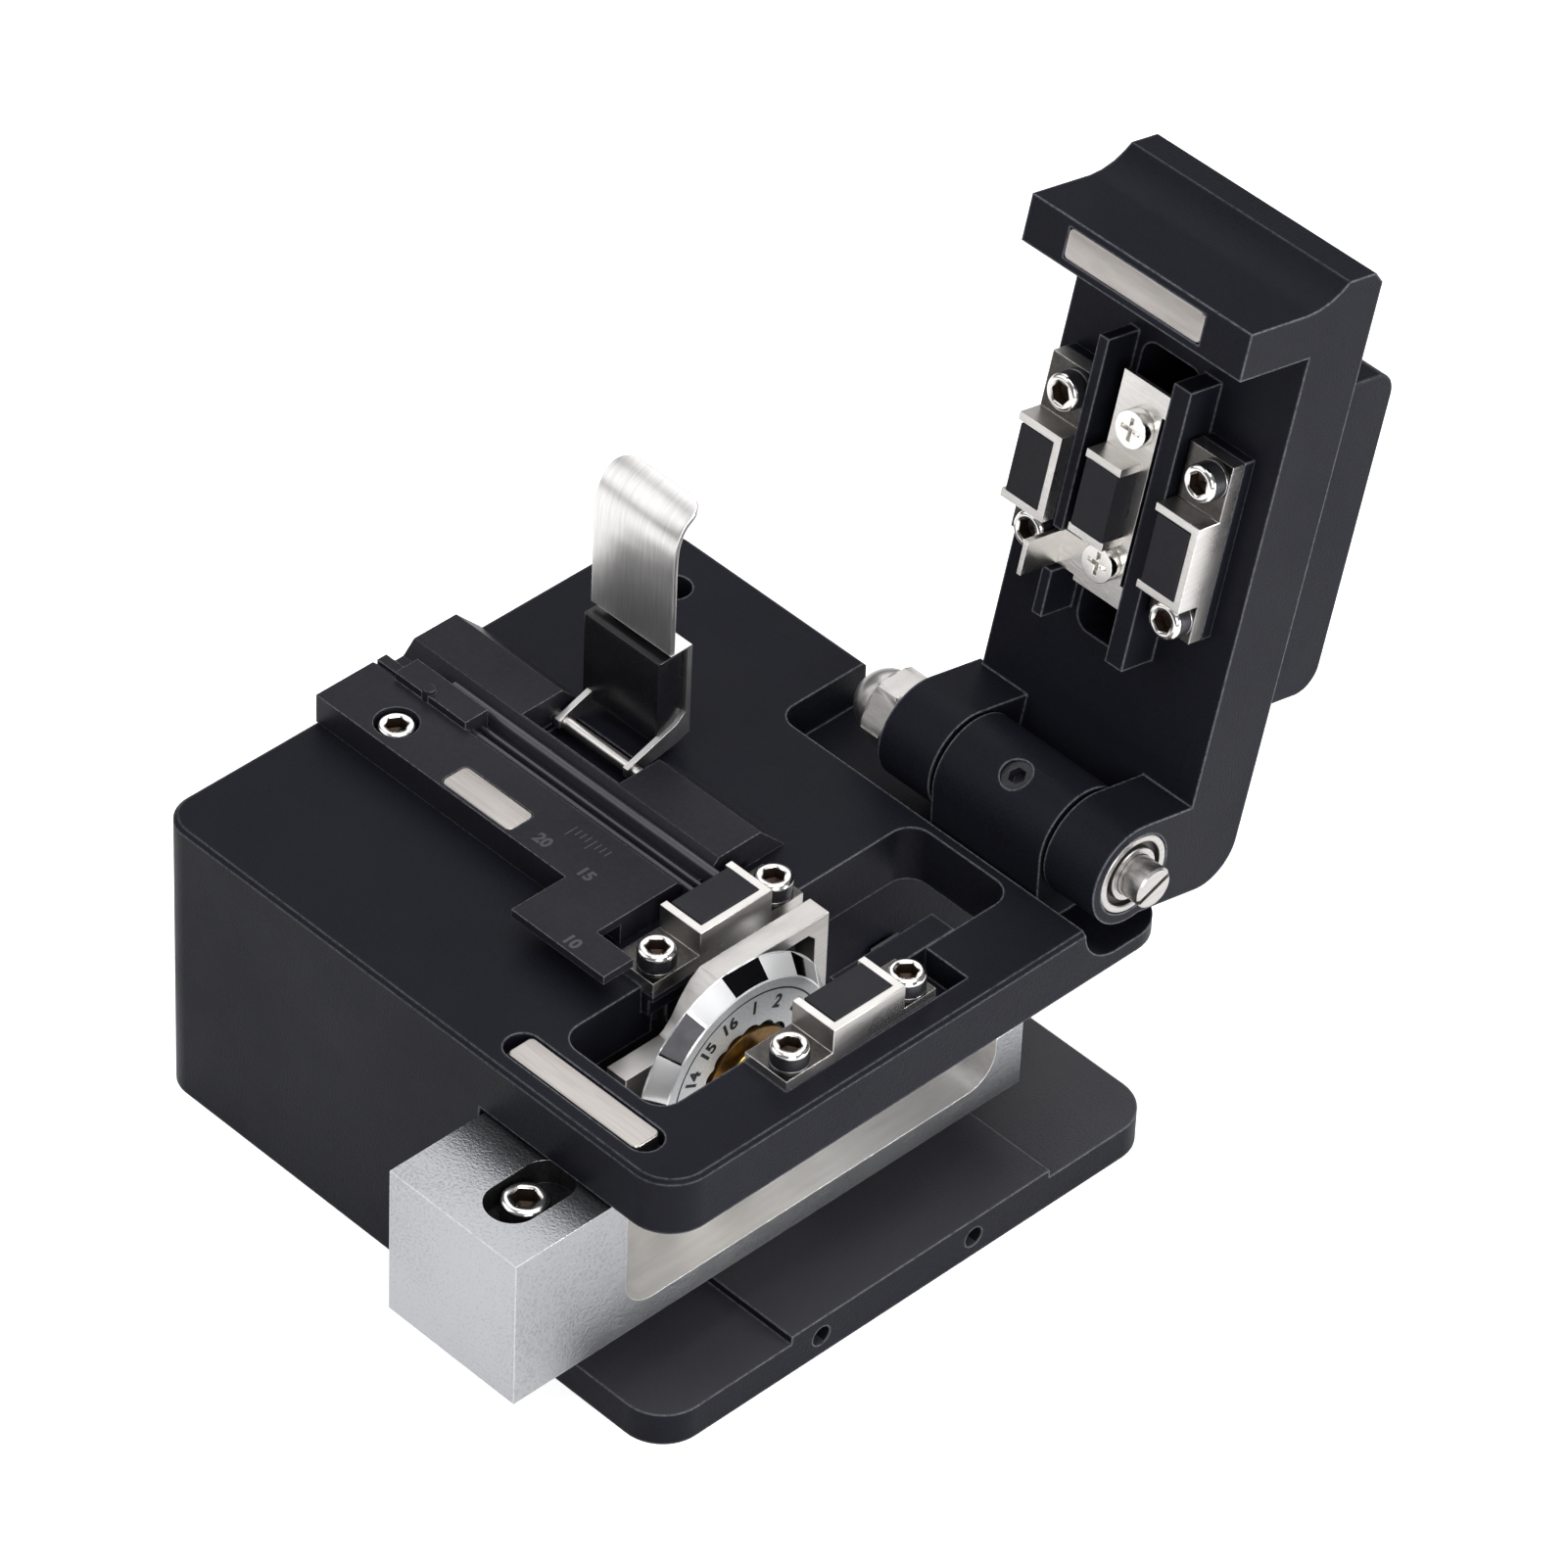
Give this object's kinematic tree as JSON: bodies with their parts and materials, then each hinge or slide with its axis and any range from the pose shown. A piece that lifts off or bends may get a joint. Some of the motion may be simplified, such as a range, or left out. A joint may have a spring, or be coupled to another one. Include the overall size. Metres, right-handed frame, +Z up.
{
  "type": "fibre cleaver",
  "caption": "Bench cleaver for optical fibre: machined body with hinged clamp lid, sliding blade carrier, turning disc blade, sprung anvil and clamp lever.",
  "frame": {"origin": "centre of the base's underside, under the middle of the machined body", "axes": "+X along the fibre, from the guide towards the open side; +Y towards the hinge; +Z up"},
  "size_m": [0.0674, 0.0941, 0.0884],
  "materials": {
    "black_anodised": "bead-blasted, black anodised",
    "blasted_silver": "bead-blasted, clear anodised",
    "nickel_sheet": "satin nickel-plated sheet",
    "bright_nickel": "bright nickel-plated",
    "magnet_nickel": "nickel-plated magnet, fine brushed",
    "blade_steel": "ground hard metal with black scale figures",
    "brass": "turned brass",
    "black_rubber": "matt black rubber",
    "black_plastic": "matt black moulded plastic",
    "lever_steel": "satin stainless sheet",
    "rail_steel": "ground bearing steel"
  },
  "bodies": {
    "base": {"body_frame": "black_anodised", "deck_magnet": "magnet_nickel", "guide_plate": "black_plastic", "guide_magnet": "magnet_nickel", "guide_screw": "bright_nickel", "guide_pin": "black_plastic", "lever_pin": "bright_nickel", "lower_base_left": "black_anodised", "lower_base_right": "black_anodised", "lower_retainer_left": "nickel_sheet", "lower_retainer_right": "nickel_sheet", "lower_pad_left": "black_rubber", "lower_pad_right": "black_rubber", "lower_clamp_screws": "bright_nickel", "lower_clamp_washers": "rail_steel", "linear_rail": "rail_steel", "rail_screws": "rail_steel", "hinge_shaft": "bright_nickel", "acorn_nut": "bright_nickel", "hinge_washer": "nickel_sheet", "hinge_set_screw": "rail_steel"},
    "slider": {"slider": "blasted_silver", "slider_screw": "bright_nickel", "rail_carriage": "rail_steel", "carriage_screws": "rail_steel", "blade_bracket": "nickel_sheet", "bracket_screws": "rail_steel", "blade_axle": "rail_steel"},
    "blade": {"blade": "blade_steel", "blade_hub": "brass"},
    "lid": {"lid_frame": "black_anodised", "lid_magnet": "magnet_nickel", "lid_cover": "black_anodised", "upper_base_left": "black_anodised", "upper_base_right": "black_anodised", "upper_retainer_left": "nickel_sheet", "upper_retainer_right": "nickel_sheet", "upper_pad_left": "black_rubber", "upper_pad_right": "black_rubber", "upper_clamp_screws": "bright_nickel", "upper_clamp_washers": "rail_steel", "anvil_guide": "black_plastic", "hinge_bearing_left": "bright_nickel", "hinge_bearing_right": "bright_nickel"},
    "anvil": {"anvil_carrier": "nickel_sheet", "anvil_pad": "black_rubber", "anvil_screws": "bright_nickel", "anvil_posts": "rail_steel"},
    "lever": {"clamp_lever": "lever_steel", "lever_pad": "black_plastic"}
  },
  "joints": [
    {"name": "lid_hinge", "type": "hinge", "parent": "base", "child": "lid", "pos_m": [0, 0.02484, 0.03426], "axis": [1, 0, 0], "range_deg": [0, 102.9]},
    {"name": "slider_slide", "type": "slide", "parent": "base", "child": "slider", "axis": [0, 1, 0], "range_m": [0, 0.014]},
    {"name": "blade_turn", "type": "hinge", "parent": "slider", "child": "blade", "pos_m": [0.0193, -0.0092, 0.02345], "axis": [1, 0, 0], "continuous": true},
    {"name": "anvil_slide", "type": "slide", "parent": "lid", "child": "anvil", "axis": [0, 0.9748, -0.2233], "range_m": [0, 0.0007], "stiffness_N_per_m": 400},
    {"name": "clamp_lever_hinge", "type": "hinge", "parent": "base", "child": "lever", "pos_m": [-0.013, 0.0041, 0.03155], "axis": [1, 0, 0], "range_deg": [0, 90]}
  ]
}
